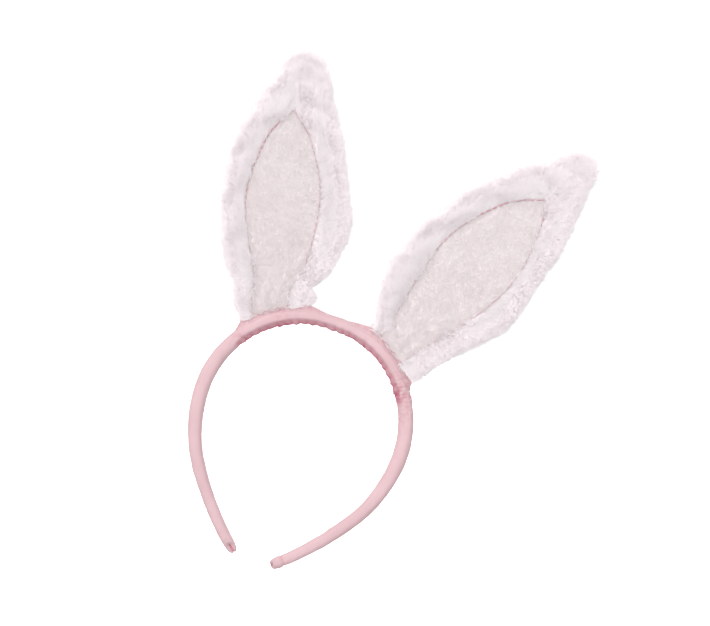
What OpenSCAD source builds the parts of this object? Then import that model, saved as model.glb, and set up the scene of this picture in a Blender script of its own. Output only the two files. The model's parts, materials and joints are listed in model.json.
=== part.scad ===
// Animal ears headband: a padded, satin-covered hoop with two faux-fur rabbit ears.
// The hoop is drawn flat, with +Y up and +Z towards the front, and stood up by worn().
// Angles round the hoop are measured from the top of the crown, in degrees.

/* [Hoop] */
// Width across the inside of the hoop
hoop_inner_width = 120; // [114:1:126]
// Thickness of the padded tube, measured outwards from the head
hoop_thickness = 9.6; // [9:0.1:10.4]
// Depth of the padded tube from front to back
hoop_depth = 10; // [9:0.5:12]
// Thickness of the tube where an arm ends
tip_thickness = 7; // [6.6:0.1:8.6]
// Depth of the tube where an arm ends
tip_depth = 7.5; // [7.5:0.5:9]
// Where an arm starts to flex, measured from the top of the crown
shoulder_angle = 60; // [57:1:64]

/* [Hoop layers] */
// Width of the plastic strip inside the tube
core_width = 6.5; // [5:0.5:7]
// Thickness of the plastic strip
core_thickness = 2; // [1.5:0.1:2.5]
// Thickness of the satin skin
satin_thickness = 0.5; // [0.4:0.1:0.8]

/* [Ears] */
// Where each ear is sewn on, measured from the top of the crown
ear_angle = 34; // [32:1:36]
// Length of the left ear along its middle
left_ear_length = 160; // [145:1:175]
// Length of the right ear along its middle
right_ear_length = 170; // [150:1:185]
// How far the left ear leans inwards from square to the hoop
left_ear_lean = 20.5; // [16:0.5:24]
// How far the right ear leans inwards from square to the hoop
right_ear_lean = 7.5; // [4:0.5:12]
// Length of the sewn foot of each ear
ear_foot_length = 41; // [38:1:43]

/* [Ear layers] */
// Thickness of the fur panel behind each ear
back_thickness = 5.5; // [4:0.5:7]
// Height of the rolled fur border in front of the middle layer
border_height = 5; // [4:0.5:6]
// Thickness of the short-pile lining
lining_thickness = 2.5; // [1.5:0.5:3]
// Thickness of the stiff wadding in the middle
wadding_thickness = 2; // [2:0.1:2.6]
// Thickness of the bent wire inside the ear
wire_thickness = 1.6; // [1.2:0.1:1.8]

/* [Stitching] */
// Length of one stitch
stitch_length = 2.4; // [1.6:0.1:3]
// Thickness of the sewing thread
thread_thickness = 0.6; // [0.4:0.1:0.8]

/* [Colours] */
// Satin
satin_colour = "pink"; // [pink, lightpink, mistyrose, white]
// Fur of the back and the border
fur_colour = "lavenderblush"; // [lavenderblush, white, snow, mistyrose]
// Short pile of the lining
lining_colour = "mistyrose"; // [mistyrose, lavenderblush, linen, white]

/* [Hidden] */

$fn = 240;
left = -1;
right = 1;

// The middle line of the hoop: three arcs that meet smoothly on each side.
inner_radius = hoop_inner_width / 2;
top_radius = inner_radius + hoop_thickness / 2;
outer_radius = inner_radius + hoop_thickness;
bend_radius = 89;
tail_radius = 205;
top_end = 92;
bend_end = top_end + 32.5;
tail_end = bend_end + 14.8;
// The plastic strip stops short of an arm's end, which is soft.
strip_end = tail_end - 2.6;

// The padded tube's cross-section is a rounded square.
section_sides = 24;
section_squareness = 2.7;

// The knuckle where an arm flexes against the crown.
knuckle_radius = hoop_thickness / 2 - 0.2;
socket_radius = knuckle_radius + 0.3;

// The sewn foot of an ear and the line it folds about.
seat_height = outer_radius + 0.4;
foot_radius = 2.5;
fold_height = seat_height + 0.3 + foot_radius;
foot_shoulder = foot_radius + 0.3;
left_ear_foot = [2, outer_radius - 1];
right_ear_foot = [0, outer_radius + 1];

// Ear layers from back to front, measured from the middle of the foot.
wadding_back = -0.5;
wadding_front = wadding_back + wadding_thickness;
back_face = wadding_back - back_thickness;
lining_front = wadding_front + lining_thickness;
border_front = wadding_front + border_height;
// How far above the fold line an ear reaches its full thickness.
widening = 14;

// Cut pattern of an ear: share of the length, width to the left, width to the right.
pattern_length = 165;
ear_pattern = [[0.12, 30.5, 24.5], [0.22, 37, 30.5], [0.36, 40.5, 38], [0.50, 39, 34],
               [0.65, 34.5, 28.5], [0.79, 24.5, 20.5], [0.90, 14.5, 14.5], [0.96, 9, 10.5]];
lining_pattern = [[0.04, 13, 7], [0.13, 16.5, 11.5], [0.25, 22, 16.5], [0.38, 26.8, 19.4],
                  [0.50, 26.6, 18.9], [0.61, 21.8, 14], [0.70, 15.5, 7.5]];
lining_tip = [-2.8, 0.785];
rim_width = 2.6;
wire_inset = 3.6;
wadding_inset = 4.6;

// ---- outlines ------------------------------------------------------------------

function turn(angle, p) = [p.x * cos(angle) - p.y * sin(angle), p.x * sin(angle) + p.y * cos(angle)];

// A point on the smooth curve through b and c, with a and d on each side of them.
function curve_point(a, b, c, d, f) =
    0.5 * (2 * b + (c - a) * f + (2 * a - 5 * b + 4 * c - d) * f * f
           + (3 * b - a - 3 * c + d) * f * f * f);

function curve(points, steps) =
    let (last = len(points) - 1)
    concat([for (i = [0 : last - 1], j = [0 : steps - 1])
                curve_point(points[max(i - 1, 0)], points[i], points[i + 1],
                            points[min(i + 2, last)], j / steps)],
           [points[last]]);

function ear_length(side) = side == left ? left_ear_length : right_ear_length;
function ear_foot(side) = side == left ? left_ear_foot : right_ear_foot;
function ear_lean(side) = side == left ? left_ear_lean : right_ear_lean;

// A point given along and above the sewn foot, as the ear's own pattern sees it.
function on_pattern(side, p) = turn(-side * ear_lean(side), p - ear_foot(side));

// The ear's outline, up its right edge from the foot and down its left.
function ear_outline(side) =
    let (size = ear_length(side),
         wide = size / pattern_length,
         half = ear_foot_length / 2,
         foot_right = on_pattern(side, [half, fold_height + 1]),
         foot_left = on_pattern(side, [-half, fold_height + 1]),
         up = [for (row = ear_pattern) [row[2] * wide, row[0] * size]],
         down = [for (i = [len(ear_pattern) - 1 : -1 : 0])
                     [-ear_pattern[i][1] * wide, ear_pattern[i][0] * size]])
    concat([on_pattern(side, [half, fold_height - 4])],
           curve(concat([foot_right], up, [[0.5, size]], down, [foot_left]), 5),
           [on_pattern(side, [-half, fold_height - 4])]);

// The points of an open line moved to its left by a distance.
function left_of(a, b) = [a.y - b.y, b.x - a.x] / norm(b - a);
function moved_in(points, distance) =
    let (last = len(points) - 1)
    [for (i = [0 : last])
        let (before = left_of(points[max(i - 1, 0)], points[max(i, 1)]),
             after = left_of(points[min(i, last - 1)], points[min(i + 1, last)]))
        points[i] + distance * (before + after) / (1 + before * after)];

// The lining's outline, grown outwards by the margin.
function lining_outline(side, margin) =
    let (size = ear_length(side),
         wide = size / pattern_length,
         foot_right = on_pattern(side, [7 + margin, fold_height - 4]),
         foot_left = on_pattern(side, [-11 - margin, fold_height - 4]),
         up = [for (row = lining_pattern) [row[2] * wide + margin, row[0] * size]],
         tip = [lining_tip.x * wide, lining_tip.y * size + 1.4 * margin],
         down = [for (i = [len(lining_pattern) - 1 : -1 : 0])
                     [-lining_pattern[i][1] * wide - margin, lining_pattern[i][0] * size]])
    concat(curve(concat([foot_right], up, [tip]), 4),
           curve(concat([tip], down, [foot_left]), 4));

// ---- the hoop's middle line ----------------------------------------------------

function spine_radius(h) = h < top_end ? top_radius : h < bend_end ? bend_radius : tail_radius;
bend_centre = (top_radius - bend_radius) * [sin(top_end), cos(top_end)];
tail_centre = bend_centre + (bend_radius - tail_radius) * [sin(bend_end), cos(bend_end)];
function spine_centre(h) = h < top_end ? [0, 0] : h < bend_end ? bend_centre : tail_centre;
function spine_point(h) = spine_centre(h) + spine_radius(h) * [sin(h), cos(h)];

// How far along the tapering stretch of an arm a heading lies, from 0 to 1.
bend_length = bend_radius * (bend_end - top_end);
tail_length = tail_radius * (tail_end - bend_end);
function taper(h) =
    h < top_end ? 0
    : h < bend_end ? bend_radius * (h - top_end) / (bend_length + tail_length)
    : (bend_length + tail_radius * (h - bend_end)) / (bend_length + tail_length);
function tube_thickness(h) = hoop_thickness + (tip_thickness - hoop_thickness) * taper(h);
function tube_depth(h) = hoop_depth + (tip_depth - hoop_depth) * taper(h);

function rounded(value) = sign(value) * pow(abs(value), 2 / section_squareness);
function section(thickness, depth) =
    [for (i = [0 : section_sides - 1])
        let (a = 360 * (i + 0.5) / section_sides)
        [thickness / 2 * rounded(cos(a)), depth / 2 * rounded(sin(a))]];

// Headings of the rings of an arm, close together where it bends most.
arm_headings = concat([for (i = [0 : 8]) 53 + (top_end - 53) * i / 8],
                      [for (i = [1 : 9]) top_end + (bend_end - top_end) * i / 9],
                      [for (i = [1 : 7]) bend_end + (tail_end - bend_end) * i / 7]);

function arm_ring(h, skin) =
    [for (p = section(tube_thickness(h) - 2 * skin, tube_depth(h) - 2 * skin))
        let (q = spine_point(h) + p.x * [sin(h), cos(h)]) [q.x, q.y, p.y]];

// A closed skin through a list of rings that all have the same number of points.
// It has a flat cap at each end, or runs from the last ring back to the first.
module sweep(rings, capped = true) {
    sides = len(rings[0]);
    count = len(rings);
    points = [for (ring = rings, p = ring) p];
    walls = [for (i = [0 : count - (capped ? 2 : 1)], j = [0 : sides - 1])
        let (k = (j + 1) % sides, n = (i + 1) % count)
        each [[i * sides + j, n * sides + k, i * sides + k],
              [i * sides + j, n * sides + j, n * sides + k]]];
    ends = [[for (j = [0 : sides - 1]) j],
            [for (j = [sides - 1 : -1 : 0]) (count - 1) * sides + j]];
    polyhedron(points, capped ? concat(walls, ends) : walls, convexity = 6);
}

// ---- placing -------------------------------------------------------------------

// Stands the flat drawing up, with the inside of the crown at the origin.
module worn() {
    translate([0, 0, -inner_radius]) rotate([90, 0, 0]) children();
}

// Along the hoop at an ear's seat: +X clockwise along it, +Y straight outwards.
module at_seat(side) {
    rotate([0, 0, -side * ear_angle]) children();
}

// The ear's own cut pattern, placed on its seat.
module on_ear(side) {
    at_seat(side) translate(ear_foot(side)) rotate([0, 0, side * ear_lean(side)]) children();
}

// A profile drawn as [towards the back, outwards], run along the seat.
module along_seat(length) {
    rotate([0, 90, 0]) linear_extrude(length, center = true) children();
}

module mirrored(side) {
    mirror([side == left ? 1 : 0, 0, 0]) children();
}

// ---- crown ---------------------------------------------------------------------

module crown_ring(skin) {
    rotate([0, 0, 90 - shoulder_angle])
        rotate_extrude(angle = 2 * shoulder_angle)
            translate([top_radius, 0])
                polygon(section(hoop_thickness - 2 * skin, hoop_depth - 2 * skin));
}

// The flat plastic strip along the hoop's middle line between two headings.
module core_strip(from, to) {
    rings = round((to - from) / 1.5);
    headings = [for (i = [0 : rings]) from + (to - from) * i / rings];
    half = core_thickness / 2;
    outside = [for (h = headings) spine_point(h) + half * [sin(h), cos(h)]];
    inside = [for (i = [rings : -1 : 0])
        let (h = headings[i]) spine_point(h) - half * [sin(h), cos(h)]];
    linear_extrude(core_width, center = true) polygon(concat(outside, inside));
}

module crown_core_strip(spare) {
    rotate([0, 0, 90 - shoulder_angle - spare])
        rotate_extrude(angle = 2 * (shoulder_angle + spare))
            translate([top_radius, 0]) square([core_thickness, core_width], center = true);
}

// The round sockets at the ends of the crown in which the arms flex.
module sockets() {
    for (side = [left, right])
        rotate([0, 0, -side * shoulder_angle]) translate([0, top_radius, 0])
            cylinder(h = 2 * hoop_depth, r = socket_radius, center = true);
}

module tab_slot(side, spare) {
    at_seat(side) translate([0, seat_height - 2.2, 0])
        cube([ear_foot_length - 9 + spare, 4 + spare, 1.6 + spare], center = true);
}

module crown_core() {
    color("whitesmoke") worn() difference() {
        crown_core_strip(0);
        sockets();
    }
}

module crown_padding() {
    color("white") worn() difference() {
        crown_ring(satin_thickness);
        crown_core_strip(2);
        tab_slot(left, 0.1);
        tab_slot(right, 0.1);
        sockets();
    }
}

module crown_sleeve() {
    color(satin_colour) worn() difference() {
        crown_ring(0);
        rotate([0, 0, 90 - shoulder_angle - 2])
            rotate_extrude(angle = 2 * shoulder_angle + 4)
                translate([top_radius, 0])
                    polygon(section(hoop_thickness - 2 * satin_thickness,
                                    hoop_depth - 2 * satin_thickness));
        tab_slot(left, 0.1);
        tab_slot(right, 0.1);
        sockets();
    }
}

// Stitches that gather the satin along the inside of the crown.
module crown_gather_stitches() {
    pitch = 3.5;
    count = 34;
    color("palevioletred") worn()
        for (i = [0 : count - 1])
            rotate([0, 0, (i - (count - 1) / 2) * pitch])
                translate([0, inner_radius - thread_thickness / 2 - 0.02, 0])
                    rotate([0, 90, 0])
                        cylinder(h = stitch_length, d = thread_thickness, center = true, $fn = 16);
}

// Satin pulled up like a small tent to the straight foot of an ear.
module ear_seat(side) {
    outer_end = -ear_foot_length / 2;
    inner_end = ear_foot_length / 2;
    at_seat(side) mirror([side == left ? 0 : 1, 0, 0]) intersection() {
        linear_extrude(hoop_depth, center = true)
            polygon([[outer_end - 6.2, outer_radius - 9], [outer_end - 4.4, outer_radius - 5],
                     [outer_end, seat_height], [inner_end, seat_height],
                     [inner_end + 15, outer_radius - 8.6], [inner_end + 15, outer_radius - 12]]);
        along_seat(120)
            polygon([[-hoop_depth / 2 + 0.4, 40], [-hoop_depth / 2 + 0.4, outer_radius - 4],
                     [-2, seat_height], [2, seat_height],
                     [hoop_depth / 2 - 0.4, outer_radius - 4], [hoop_depth / 2 - 0.4, 40]]);
    }
}

module seat(side) {
    color(satin_colour) worn() difference() {
        ear_seat(side);
        crown_ring(0);
        cylinder(h = 2 * hoop_depth, r = top_radius, center = true);
        tab_slot(side, 0.1);
    }
}

module left_ear_seat() seat(left);
module right_ear_seat() seat(right);

// Seam allowance of an ear, glued between the satin and the padding.
module left_ear_tab() { color(lining_colour) worn() tab_slot(left, 0); }
module right_ear_tab() { color(lining_colour) worn() tab_slot(right, 0); }

// ---- arms ----------------------------------------------------------------------

// What lies before the shoulder, all but the round knuckle.
module before_knuckle() {
    knuckle = [for (a = [-90 : -10 : -270]) knuckle_radius * [cos(a), sin(a)]];
    rotate([0, 0, -shoulder_angle]) translate([0, top_radius, 0])
        linear_extrude(3 * hoop_depth, center = true)
            polygon(concat([[-30, -20], [0, -20]], knuckle, [[0, 20], [-30, 20]]));
}

module arm_core(side) {
    color("whitesmoke") worn() mirrored(side) difference() {
        core_strip(shoulder_angle - 8, strip_end);
        before_knuckle();
    }
}

module arm_padding(side) {
    color("white") worn() mirrored(side) difference() {
        sweep([for (h = arm_headings) arm_ring(h, satin_thickness)]);
        core_strip(shoulder_angle - 8, strip_end);
        before_knuckle();
    }
}

module arm_sleeve(side) {
    color(satin_colour) worn() mirrored(side) difference() {
        sweep(concat([for (h = arm_headings) arm_ring(h, 0)],
                     [for (i = [len(arm_headings) - 1 : -1 : 0])
                         arm_ring(arm_headings[i], satin_thickness)]), capped = false);
        before_knuckle();
    }
}

// Folded satin that closes the end of an arm, with the mouth of the fold across it.
module tip_tuck(side) {
    color(satin_colour) worn() mirrored(side)
        translate(spine_point(tail_end)) rotate([0, 0, -tail_end])
            difference() {
                sweep([for (step = [[0, 0], [1.4, 0.1], [2.6, 0.5], [3.4, 1.2], [3.8, 2.1]])
                    [for (p = section(tip_thickness - 2 * step[1], tip_depth - 2 * step[1]))
                        [step[0], p.x, p.y]]]);
                translate([3.4, 0, 0]) cube([2.4, 0.7, tip_depth * 0.55], center = true);
            }
}

module left_arm_core() arm_core(left);
module right_arm_core() arm_core(right);
module left_arm_padding() arm_padding(left);
module right_arm_padding() arm_padding(right);
module left_arm_sleeve() arm_sleeve(left);
module right_arm_sleeve() arm_sleeve(right);
module left_tip_tuck() tip_tuck(left);
module right_tip_tuck() tip_tuck(right);

// ---- ears ----------------------------------------------------------------------

// The room an ear fills: thin at the fold line and wider above it.
module ear_room(side) {
    at_seat(side) translate([0, fold_height, 0]) along_seat(260)
        polygon([[-foot_shoulder, -5], [foot_shoulder, -5], [foot_shoulder, 0],
                 [-back_face + 1, widening], [-back_face + 1, 200],
                 [-border_front - 1, 200], [-border_front - 1, widening], [-foot_shoulder, 0]]);
}

// What is cut away below the fold line to leave the foot round about it.
module under_foot(side) {
    at_seat(side) translate([0, fold_height, 0]) difference() {
        translate([0, -4, 0]) cube([270, 8, 12], center = true);
        rotate([0, 90, 0]) cylinder(h = 280, r = foot_radius, center = true);
    }
}

// A flat layer of an ear between two depths, kept inside the ear's room.
module ear_layer(side, from, to) {
    difference() {
        intersection() {
            on_ear(side) translate([0, 0, from]) linear_extrude(to - from) children();
            ear_room(side);
        }
        under_foot(side);
    }
}

module ear_back(side) {
    color(fur_colour) worn()
        ear_layer(side, back_face, wadding_back) polygon(ear_outline(side));
}

// The back panel's fur, rolled round the edge on to the front.
module ear_border(side) {
    color(fur_colour) worn() difference() {
        ear_layer(side, wadding_back, border_front) difference() {
            polygon(ear_outline(side));
            polygon(lining_outline(side, 0.7));
        }
        on_ear(side) translate([0, 0, wadding_back - 1]) linear_extrude(wadding_thickness + 1)
            polygon(moved_in(ear_outline(side), rim_width));
    }
}

module ear_lining(side) {
    color(lining_colour) worn()
        ear_layer(side, wadding_front, lining_front) polygon(lining_outline(side, 0));
}

module ear_wadding(side) {
    color("white") worn()
        ear_layer(side, wadding_back, wadding_front)
            polygon(moved_in(ear_outline(side), wadding_inset));
}

// One wire, up one side of the ear, round the tip and down the other side.
module ear_wire(side) {
    sides = 8;
    route = moved_in(ear_outline(side), wire_inset);
    last = len(route) - 1;
    level = (wadding_back + wadding_front) / 2;
    rings = [for (i = [1 : last - 1])
        let (along = route[min(i + 1, last - 1)] - route[max(i - 1, 1)],
             across = [along.y, -along.x] / norm(along))
        [for (j = [0 : sides - 1])
            let (a = 360 * j / sides, out = wire_thickness / 2 * cos(a))
            [route[i].x + out * across.x, route[i].y + out * across.y,
             level + wire_thickness / 2 * sin(a)]]];
    color("silver") worn() on_ear(side) sweep(rings);
}

// Stitches round the edge of the lining, at even steps along it.
module ear_seam_stitches(side) {
    line = lining_outline(side, -0.5);
    color("palevioletred") worn() on_ear(side)
        for (i = [5 : len(line) - 7])
            let (a = line[i], b = line[i + 1], gap = norm(b - a), count = max(1, round(gap / 3.6)))
            for (j = [0 : count - 1])
                if (gap > stitch_length)
                    translate([0, 0, lining_front + thread_thickness / 2 + 0.02])
                        translate(a + (b - a) * (j + 0.5) / count)
                            rotate([0, 0, atan2(b.y - a.y, b.x - a.x)]) rotate([0, 90, 0])
                                cylinder(h = min(stitch_length, 0.7 * gap / count),
                                         d = thread_thickness, center = true, $fn = 16);
}

// Stitches that hold the ear's foot to the satin, front and back.
module ear_foot_stitches(side) {
    pitch = 4;
    count = 9;
    lift = 1.5;
    slope = (border_front + 1 - foot_shoulder) / widening;
    color("palevioletred") worn() at_seat(side)
        for (i = [0 : count - 1])
            translate([(i - (count - 1) / 2) * pitch, fold_height + lift,
                       foot_shoulder + lift * slope + thread_thickness / 2 + 0.1])
                rotate([0, 90, 0])
                    cylinder(h = stitch_length, d = thread_thickness, center = true, $fn = 16);
}

module left_ear_back() ear_back(left);
module right_ear_back() ear_back(right);
module left_ear_border() ear_border(left);
module right_ear_border() ear_border(right);
module left_ear_lining() ear_lining(left);
module right_ear_lining() ear_lining(right);
module left_ear_wadding() ear_wadding(left);
module right_ear_wadding() ear_wadding(right);
module left_ear_wire() ear_wire(left);
module right_ear_wire() ear_wire(right);
module left_ear_seam_stitches() ear_seam_stitches(left);
module right_ear_seam_stitches() ear_seam_stitches(right);
module left_ear_foot_stitches() ear_foot_stitches(left);
module right_ear_foot_stitches() ear_foot_stitches(right);

// ---- drawing -------------------------------------------------------------------

crown_core();
crown_padding();
crown_sleeve();
crown_gather_stitches();
left_ear_seat();
right_ear_seat();
left_ear_tab();
right_ear_tab();
left_arm_core();
left_arm_padding();
left_arm_sleeve();
left_tip_tuck();
right_arm_core();
right_arm_padding();
right_arm_sleeve();
right_tip_tuck();
left_ear_back();
left_ear_border();
left_ear_lining();
left_ear_wadding();
left_ear_wire();
left_ear_seam_stitches();
left_ear_foot_stitches();
right_ear_back();
right_ear_border();
right_ear_lining();
right_ear_wadding();
right_ear_wire();
right_ear_seam_stitches();
right_ear_foot_stitches();
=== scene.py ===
"""Animal ears headband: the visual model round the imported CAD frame."""
import json
import math

import bpy
import numpy as np
from mathutils import Matrix, Vector, noise


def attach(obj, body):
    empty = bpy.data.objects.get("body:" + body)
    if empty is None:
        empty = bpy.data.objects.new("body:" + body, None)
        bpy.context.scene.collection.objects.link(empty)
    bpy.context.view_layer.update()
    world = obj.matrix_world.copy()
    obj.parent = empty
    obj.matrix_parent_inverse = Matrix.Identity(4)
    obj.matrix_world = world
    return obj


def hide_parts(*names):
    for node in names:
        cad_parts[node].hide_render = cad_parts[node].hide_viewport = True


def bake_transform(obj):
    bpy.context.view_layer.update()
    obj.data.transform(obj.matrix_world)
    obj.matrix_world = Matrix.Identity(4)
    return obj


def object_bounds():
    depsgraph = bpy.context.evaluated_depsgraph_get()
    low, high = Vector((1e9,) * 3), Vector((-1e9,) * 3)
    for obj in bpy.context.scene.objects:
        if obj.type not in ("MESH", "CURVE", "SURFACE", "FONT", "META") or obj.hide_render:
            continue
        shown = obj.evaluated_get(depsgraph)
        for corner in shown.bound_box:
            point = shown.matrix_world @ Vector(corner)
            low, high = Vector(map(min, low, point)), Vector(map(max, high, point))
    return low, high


MM = 0.001
LEFT, RIGHT = -1, 1
SIDES = {"left": LEFT, "right": RIGHT}

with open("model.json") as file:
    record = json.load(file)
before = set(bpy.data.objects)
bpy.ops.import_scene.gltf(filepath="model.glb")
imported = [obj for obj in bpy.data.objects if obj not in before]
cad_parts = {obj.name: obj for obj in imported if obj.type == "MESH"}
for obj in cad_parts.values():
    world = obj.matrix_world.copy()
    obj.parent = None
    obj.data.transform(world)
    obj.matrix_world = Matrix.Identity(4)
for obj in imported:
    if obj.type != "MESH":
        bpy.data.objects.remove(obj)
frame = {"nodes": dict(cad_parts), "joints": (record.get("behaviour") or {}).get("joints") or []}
cad_low, cad_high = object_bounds()
joints = {joint["name"]: joint for joint in frame["joints"]}

# ---- sizes in millimetres and degrees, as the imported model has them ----

SHOULDER_ANGLE = 60
shoulder = Vector(joints["right_arm_flex"]["pos_m"]) / MM
TOP_RADIUS = shoulder.x / math.sin(math.radians(SHOULDER_ANGLE))
CENTRE_Z = shoulder.z - TOP_RADIUS * math.cos(math.radians(SHOULDER_ANGLE))
TUBE_THICKNESS, TUBE_DEPTH = 9.6, 10.0
TIP_THICKNESS, TIP_DEPTH = 7.0, 7.5
OUTER_RADIUS = TOP_RADIUS + TUBE_THICKNESS / 2
BEND_RADIUS, TAIL_RADIUS = 89.0, 205.0
TOP_END, BEND_END, TAIL_END = 92.0, 124.5, 139.3

EAR_ANGLE = 34
SEAT_HEIGHT = OUTER_RADIUS + 0.4
SEWN_HEIGHT = SEAT_HEIGHT - 0.6
FOLD_HEIGHT = SEAT_HEIGHT + 2.8
FOOT_LENGTH = 41.0
EAR_LENGTH = {LEFT: 160.0, RIGHT: 170.0}
EAR_LEAN = {LEFT: 20.5, RIGHT: 7.5}
EAR_FOOT = {LEFT: (2.0, OUTER_RADIUS - 1), RIGHT: (0.0, OUTER_RADIUS + 1)}
PATTERN_LENGTH = 165.0
# Each ear's fur cloth: a share of the ear's length, and the widths to its left and right there.
EAR_PATTERN = {
    LEFT: [(0.12, 29.8, 24), (0.22, 34.8, 31), (0.36, 38.6, 38), (0.50, 38.9, 33.6),
           (0.65, 35.1, 28.8), (0.79, 24.9, 21.4), (0.90, 14.1, 15.8), (0.96, 9.2, 12),
           (0.985, 6, 9.3)],
    RIGHT: [(0.12, 30.1, 23.8), (0.22, 36.9, 27.2), (0.36, 40.1, 33.9), (0.50, 39.4, 29.1),
            (0.65, 33.8, 25.1), (0.79, 24.8, 17.7), (0.90, 14.6, 10.4), (0.96, 10.2, 6.9),
            (0.985, 7.2, 4.1)]}
PATTERN_TIP = {LEFT: 1.4, RIGHT: -1.8}
LINING_PATTERN = [(0.04, 13, 7), (0.13, 16.5, 11.5), (0.25, 22, 16.5), (0.38, 26.8, 19.4),
                  (0.50, 26.6, 18.9), (0.61, 21.8, 14), (0.70, 15.5, 7.5)]
LINING_TIP = (-2.8, 0.785)
# Where the lining's edges start, as (along, out) on the seat.
LINING_FEET = {
    (LEFT, LEFT): [(-12, SEWN_HEIGHT), (-12.5, 76)],
    (LEFT, RIGHT): [(10.5, SEWN_HEIGHT), (11.2, 74.5), (12.6, 79.6), (16.6, 83.8), (23.4, 89)],
    (RIGHT, LEFT): [(-15.6, SEWN_HEIGHT), (-14.6, 75.5), (-12.3, 80.4), (-17, 84.8), (-21, 92)],
    (RIGHT, RIGHT): [(7, SEWN_HEIGHT), (8, 77)]}
# The left ear's right edge from its foot, round the small lobe and through the notch over it.
LOBE_EDGE = [(17.1, 6.8), (20.4, 9.8), (20.6, 13.2), (17.0, 17.2), (23.2, 24)]

# An arm's end: how far its front is cut back on a slant, the length of the right arm's cuff,
# and how far short of the end the strip and the foam stop.
TIP_SLANT = {LEFT: 6.6, RIGHT: 1.8}
CUFF_LENGTH = 5.0
STRIP_END_GAP = 8.5
# The foam's surface against the satin's, and the deepest that a fold of satin goes.
FOAM_LIFT, FOLD_ROOM = -1.5, 1.3

# Depths of an ear's layers, from the hoop's middle plane towards the front.
LAYER_MIDDLE = 0.5
BORDER_FRONT, LINING_FRONT, BACK_FACE = 4.0, 3.0, -4.4


# ---- small helpers ----

def smooth(x):
    x = np.clip(x, 0, 1)
    return x * x * (3 - 2 * x)


def turned(angle, points):
    """Points turned anticlockwise by an angle in degrees."""
    a = math.radians(angle)
    points = np.asarray(points, float)
    x, y = points[..., 0], points[..., 1]
    return np.stack([x * math.cos(a) - y * math.sin(a), x * math.sin(a) + y * math.cos(a)], -1)


def curve(points, steps):
    """A smooth curve through the points."""
    p = np.asarray(points, float)
    last = len(p) - 1
    out = []
    for i in range(last):
        a, b, c, d = p[max(i - 1, 0)], p[i], p[i + 1], p[min(i + 2, last)]
        for f in np.arange(steps) / steps:
            out.append(0.5 * (2 * b + (c - a) * f + (2 * a - 5 * b + 4 * c - d) * f * f
                              + (3 * b - a - 3 * c + d) * f ** 3))
    return np.array(out + [p[last]])


def evenly(path, count):
    """The path again, with count points at equal steps along it."""
    steps = np.linalg.norm(np.diff(path, axis=0), axis=1)
    along = np.concatenate([[0], np.cumsum(steps)])
    wanted = np.linspace(0, along[-1], count)
    return np.stack([np.interp(wanted, along, path[:, k]) for k in range(path.shape[1])], -1)


def wander(x, y, seed, octaves=2):
    """Smooth noise between about -1 and 1 at each pair of x and y."""
    flat = zip(np.ravel(x), np.ravel(y))
    values = [noise.fractal(Vector((a, b, seed * 7.31)), 1.0, 2.0, octaves) for a, b in flat]
    return np.array(values).reshape(np.shape(x))


def make_mesh(name, points, faces, materials, indices=None, smooth_shading=True):
    """A mesh object from points in metres and faces that all have the same number of corners."""
    points = np.asarray(points, np.float32).reshape(-1, 3)
    faces = np.asarray(faces, np.int32)
    corners = faces.shape[1]
    mesh = bpy.data.meshes.new(name)
    mesh.vertices.add(len(points))
    mesh.vertices.foreach_set("co", points.ravel())
    mesh.loops.add(faces.size)
    mesh.loops.foreach_set("vertex_index", faces.ravel())
    mesh.polygons.add(len(faces))
    mesh.polygons.foreach_set("loop_start", np.arange(0, faces.size, corners, dtype=np.int32))
    for material in materials:
        mesh.materials.append(material)
    if indices is not None:
        mesh.polygons.foreach_set("material_index", np.asarray(indices, np.int32))
    mesh.polygons.foreach_set("use_smooth", np.full(len(faces), smooth_shading))
    mesh.update()
    mesh.validate()
    obj = bpy.data.objects.new(name, mesh)
    bpy.context.scene.collection.objects.link(obj)
    return obj


def grid_faces(rows, columns, closed=False, flipped=False):
    """Quads over a grid of points, row by row."""
    i = np.arange(rows - 1)[:, None]
    j = np.arange(columns if closed else columns - 1)[None, :]
    k = (j + 1) % columns
    quads = np.stack([i * columns + j, i * columns + k, (i + 1) * columns + k,
                      (i + 1) * columns + j], -1).reshape(-1, 4)
    return quads[:, ::-1] if flipped else quads


# ---- materials ----

def new_material(name, colour, roughness, sheen=0.0, specular=0.4):
    material = bpy.data.materials.new(name)
    material.use_nodes = True
    shader = material.node_tree.nodes["Principled BSDF"]
    shader.inputs["Base Color"].default_value = (*colour, 1)
    shader.inputs["Roughness"].default_value = roughness
    shader.inputs["Sheen Weight"].default_value = sheen
    shader.inputs["Specular IOR Level"].default_value = specular
    return material, material.node_tree, shader


def add_node(tree, kind, **values):
    node = tree.nodes.new(kind)
    for key, value in values.items():
        if key in node.inputs:
            node.inputs[key].default_value = value
        else:
            setattr(node, key, value)
    return node


def mottle(tree, shader, dark, light, scale, detail=3.0):
    """Drives the base colour by noise between two colours. Returns the place and colour nodes."""
    place = add_node(tree, "ShaderNodeTexCoord")
    cloud = add_node(tree, "ShaderNodeTexNoise", Scale=scale, Detail=detail)
    ramp = add_node(tree, "ShaderNodeValToRGB")
    ramp.color_ramp.elements[0].position, ramp.color_ramp.elements[1].position = 0.3, 0.7
    ramp.color_ramp.elements[0].color = (*dark, 1)
    ramp.color_ramp.elements[1].color = (*light, 1)
    tree.links.new(place.outputs["Object"], cloud.inputs["Vector"])
    tree.links.new(cloud.outputs["Fac"], ramp.inputs["Fac"])
    tree.links.new(ramp.outputs["Color"], shader.inputs["Base Color"])
    return place, ramp


def texture(tree, place, kind, **values):
    """A procedural texture over the object's own coordinates. Returns its value."""
    node = add_node(tree, kind, **values)
    tree.links.new(place.outputs["Object"], node.inputs["Vector"])
    return node.outputs["Fac"]


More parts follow.
